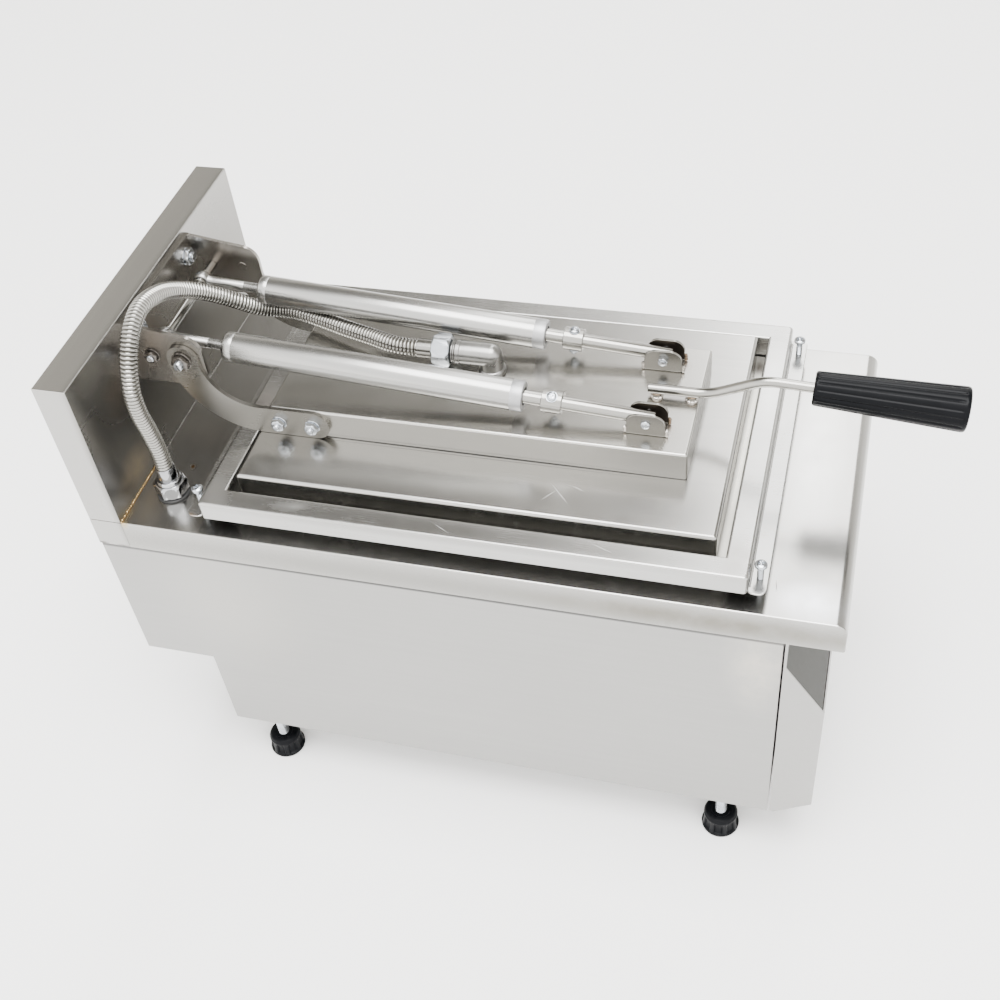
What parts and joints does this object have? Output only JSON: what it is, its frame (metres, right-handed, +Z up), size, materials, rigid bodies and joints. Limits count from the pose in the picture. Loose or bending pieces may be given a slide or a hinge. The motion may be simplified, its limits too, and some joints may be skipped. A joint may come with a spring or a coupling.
{
  "type": "clamshell contact grill",
  "caption": "Counter-top stainless contact grill: spring-balanced hinged upper hot plate with a front handle over a fixed lower plate, splashback and levelling feet.",
  "frame": {"origin": "on the surface the feet stand on, at the centre of the whole outline seen from above", "axes": "+X is the operator's right, +Y points to the rear splashback and -Y to the handle, +Z is up"},
  "size_m": [0.3, 0.6647, 0.4839],
  "materials": {
    "stainless": "brushed",
    "brushed_tube": "brushed lengthwise",
    "spring_steel": "oiled",
    "zinc": "zinc plated",
    "cast_alloy": "as cast",
    "plate_iron": "seasoned",
    "element_sheath": "oxidised",
    "ceramic_board": "fibrous",
    "black_plastic": "satin",
    "foot_plastic": "moulded",
    "lamp_lens": "translucent",
    "rocker_plastic": "gloss"
  },
  "bodies": {
    "cabinet": {"countertop": "stainless", "splashback": "stainless", "left_side_panel": "stainless", "right_side_panel": "stainless", "rear_panel": "stainless", "base_panel": "stainless", "front_panel": "stainless", "control_panel": "stainless", "hinge_bracket": "stainless", "hinge_bolts": "zinc", "spring_shaft": "stainless", "plate_frame": "stainless", "lower_plate": "plate_iron", "lower_heater": "element_sheath", "lower_insulation": "ceramic_board", "lower_pan": "stainless", "thermostats": "black_plastic", "pilot_lamps": "lamp_lens", "switch_housing": "black_plastic", "terminal_block": "ceramic_board", "cable_gland": "black_plastic", "conduit_gland": "zinc", "conduit": "zinc"},
    "lid": {"lid_tray": "stainless", "lid_box": "stainless", "upper_plate": "plate_iron", "upper_heater": "element_sheath", "upper_insulation": "ceramic_board", "lid_nuts": "zinc", "left_strap": "stainless", "right_strap": "stainless", "strap_bolts": "zinc", "left_clevis": "stainless", "right_clevis": "stainless", "clevis_pins": "zinc", "handle_rod": "stainless", "handle_grip": "black_plastic", "conduit_elbow": "cast_alloy", "conduit_nut": "zinc"},
    "left_tube": {"left_rod_end": "stainless", "left_spring_tube": "brushed_tube", "left_spring": "spring_steel"},
    "right_tube": {"right_rod_end": "stainless", "right_spring_tube": "brushed_tube", "right_spring": "spring_steel"},
    "left_push_rod": {"left_rod": "stainless", "left_collar": "stainless"},
    "right_push_rod": {"right_rod": "stainless", "right_collar": "stainless"},
    "left_dial": {"left_knob": "black_plastic"},
    "right_dial": {"right_knob": "black_plastic"},
    "rocker": {"switch_rocker": "rocker_plastic"},
    "levelling_foot_front_left": {"foot_front_left": "foot_plastic"},
    "jack_front_left": {"jack_screw_front_left": "zinc"},
    "levelling_foot_front_right": {"foot_front_right": "foot_plastic"},
    "jack_front_right": {"jack_screw_front_right": "zinc"},
    "levelling_foot_rear_left": {"foot_rear_left": "foot_plastic"},
    "jack_rear_left": {"jack_screw_rear_left": "zinc"},
    "levelling_foot_rear_right": {"foot_rear_right": "foot_plastic"},
    "jack_rear_right": {"jack_screw_rear_right": "zinc"}
  },
  "joints": [
    {"name": "lid_hinge", "type": "hinge", "parent": "cabinet", "child": "lid", "pos_m": [0, 0.25787, 0.426], "axis": [-1, 0, 0], "range_deg": [0, 68], "deforming": ["conduit", "left_spring", "right_spring"]},
    {"name": "left_tube_swing", "type": "hinge", "parent": "cabinet", "child": "left_tube", "pos_m": [-0.0372, 0.28537, 0.425], "axis": [-1, 0, 0], "range_deg": [0, 65]},
    {"name": "left_rod_swing", "type": "hinge", "parent": "lid", "child": "left_push_rod", "pos_m": [-0.0372, -0.10413, 0.3945], "axis": [-1, 0, 0], "range_deg": [-6, 0]},
    {"name": "right_tube_swing", "type": "hinge", "parent": "cabinet", "child": "right_tube", "pos_m": [0.0372, 0.28537, 0.425], "axis": [-1, 0, 0], "range_deg": [0, 65]},
    {"name": "right_rod_swing", "type": "hinge", "parent": "lid", "child": "right_push_rod", "pos_m": [0.0372, -0.10413, 0.3945], "axis": [-1, 0, 0], "range_deg": [-6, 0]},
    {"name": "left_dial_turn", "type": "hinge", "parent": "cabinet", "child": "left_dial", "pos_m": [-0.07, -0.24363, 0.236], "axis": [0, 0.8321, -0.5547], "range_deg": [0, 300]},
    {"name": "right_dial_turn", "type": "hinge", "parent": "cabinet", "child": "right_dial", "pos_m": [0.07, -0.24363, 0.236], "axis": [0, 0.8321, -0.5547], "range_deg": [0, 300]},
    {"name": "rocker_press", "type": "hinge", "parent": "cabinet", "child": "rocker", "pos_m": [0, -0.24197, 0.23489], "axis": [-1, 0, 0], "range_deg": [0, 16]},
    {"name": "foot_front_left_turn", "type": "hinge", "parent": "cabinet", "child": "levelling_foot_front_left", "pos_m": [-0.132, -0.18363, 0], "axis": [0, 0, 1], "range_deg": [-360, 360]},
    {"name": "foot_front_right_turn", "type": "hinge", "parent": "cabinet", "child": "levelling_foot_front_right", "pos_m": [0.132, -0.18363, 0], "axis": [0, 0, 1], "range_deg": [-360, 360]},
    {"name": "foot_rear_left_turn", "type": "hinge", "parent": "cabinet", "child": "levelling_foot_rear_left", "pos_m": [-0.132, 0.23537, 0], "axis": [0, 0, 1], "range_deg": [-360, 360]},
    {"name": "foot_rear_right_turn", "type": "hinge", "parent": "cabinet", "child": "levelling_foot_rear_right", "pos_m": [0.132, 0.23537, 0], "axis": [0, 0, 1], "range_deg": [-360, 360]},
    {"name": "jack_front_left_turn", "type": "hinge", "parent": "cabinet", "child": "jack_front_left", "pos_m": [-0.126, -0.20213, 0.34], "axis": [0, 0, 1], "range_deg": [-360, 360]},
    {"name": "jack_front_right_turn", "type": "hinge", "parent": "cabinet", "child": "jack_front_right", "pos_m": [0.126, -0.20213, 0.34], "axis": [0, 0, 1], "range_deg": [-360, 360]},
    {"name": "jack_rear_left_turn", "type": "hinge", "parent": "cabinet", "child": "jack_rear_left", "pos_m": [-0.126, 0.23937, 0.34], "axis": [0, 0, 1], "range_deg": [-360, 360]},
    {"name": "jack_rear_right_turn", "type": "hinge", "parent": "cabinet", "child": "jack_rear_right", "pos_m": [0.126, 0.23937, 0.34], "axis": [0, 0, 1], "range_deg": [-360, 360]}
  ],
  "couplings": [
    {"joint": "left_tube_swing", "follows": "lid_hinge", "ratio": 0.9364},
    {"joint": "left_rod_swing", "follows": "lid_hinge", "ratio": -0.0636},
    {"joint": "right_tube_swing", "follows": "lid_hinge", "ratio": 0.9364},
    {"joint": "right_rod_swing", "follows": "lid_hinge", "ratio": -0.0636}
  ]
}
